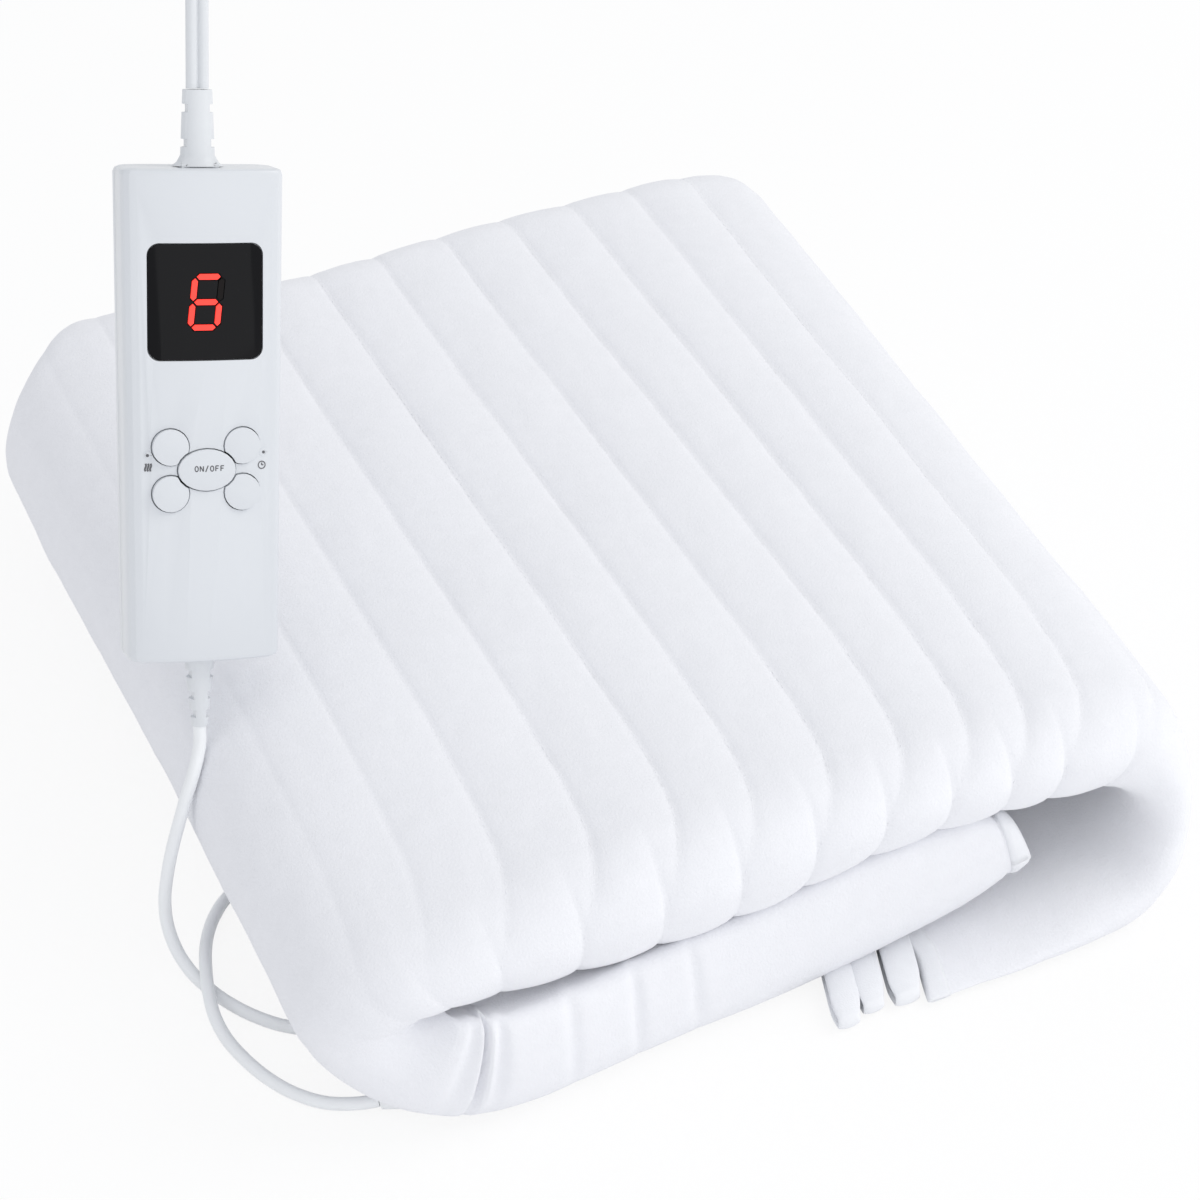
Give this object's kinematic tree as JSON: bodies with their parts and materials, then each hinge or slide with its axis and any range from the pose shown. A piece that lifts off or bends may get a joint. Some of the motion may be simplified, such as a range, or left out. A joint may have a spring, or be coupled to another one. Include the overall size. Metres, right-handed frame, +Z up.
{
  "type": "heating pad with controller",
  "caption": "Folded, channelled heating pad with a coiled cord to a slim hand controller that has a lit digit and press buttons.",
  "frame": {"origin": "on the standing surface, under the middle of the folded pad, inside its flat floor run", "axes": "+Z up; +X across the sewn channels, towards the open right fold; -Y towards the rolled front edge"},
  "size_m": [0.3587, 0.403, 0.3651],
  "materials": {
    "fleece": "soft brushed fleece",
    "tape": "woven tape",
    "heating_wire": "silicone jacket",
    "cord": "satin",
    "shell": "satin",
    "key": "satin",
    "window": "polished",
    "lit_bar": "lit",
    "unlit_bar": "unlit",
    "lamp": "clear",
    "grey_plastic": "satin",
    "black_plastic": "satin",
    "board": "solder mask",
    "relay": "satin",
    "steel": "plated"
  },
  "bodies": {
    "pad_and_controller": {"fleece_cover": "fleece", "backing_sheet": "fleece", "heating_wire": "heating_wire", "flap_hem": "tape", "under_flap_hem": "tape", "corner_strap_1": "tape", "corner_strap_2": "tape", "corner_strap_3": "tape", "pad_cord_gland": "cord", "pad_cord": "cord", "controller_front_shell": "shell", "controller_rear_shell": "shell", "display_window": "window", "display_module": "grey_plastic", "digit_top": "lit_bar", "digit_upper_left": "lit_bar", "digit_upper_right": "unlit_bar", "digit_middle": "lit_bar", "digit_lower_left": "lit_bar", "digit_lower_right": "lit_bar", "digit_bottom": "lit_bar", "tact_switch_1": "black_plastic", "tact_switch_2": "black_plastic", "tact_switch_3": "black_plastic", "tact_switch_4": "black_plastic", "tact_switch_5": "black_plastic", "heat_lamp": "lamp", "timer_lamp": "lamp", "circuit_board": "board", "relay": "relay", "control_chip": "black_plastic", "terminal_block": "grey_plastic", "capacitor": "black_plastic", "fuse": "lamp", "screw_1": "steel", "screw_2": "steel", "screw_3": "steel", "screw_4": "steel", "lead_strain_relief": "cord", "cord_strain_relief": "cord", "mains_lead": "cord", "plug_body": "cord", "plug_pin_1": "steel", "plug_pin_2": "steel"},
    "power_button_body": {"power_button": "key"},
    "button_heat_up_body": {"button_heat_up": "key"},
    "button_heat_down_body": {"button_heat_down": "key"},
    "button_timer_up_body": {"button_timer_up": "key"},
    "button_timer_down_body": {"button_timer_down": "key"}
  },
  "joints": [
    {"name": "power_button_press", "type": "slide", "parent": "pad_and_controller", "child": "power_button_body", "axis": [0.0625, 0.9125, -0.4043], "range_m": [0, 0.0008], "stiffness_N_per_m": 1500},
    {"name": "button_heat_up_press", "type": "slide", "parent": "pad_and_controller", "child": "button_heat_up_body", "axis": [0.0625, 0.9125, -0.4043], "range_m": [0, 0.0008], "stiffness_N_per_m": 1500},
    {"name": "button_heat_down_press", "type": "slide", "parent": "pad_and_controller", "child": "button_heat_down_body", "axis": [0.0625, 0.9125, -0.4043], "range_m": [0, 0.0008], "stiffness_N_per_m": 1500},
    {"name": "button_timer_up_press", "type": "slide", "parent": "pad_and_controller", "child": "button_timer_up_body", "axis": [0.0625, 0.9125, -0.4043], "range_m": [0, 0.0008], "stiffness_N_per_m": 1500},
    {"name": "button_timer_down_press", "type": "slide", "parent": "pad_and_controller", "child": "button_timer_down_body", "axis": [0.0625, 0.9125, -0.4043], "range_m": [0, 0.0008], "stiffness_N_per_m": 1500}
  ]
}
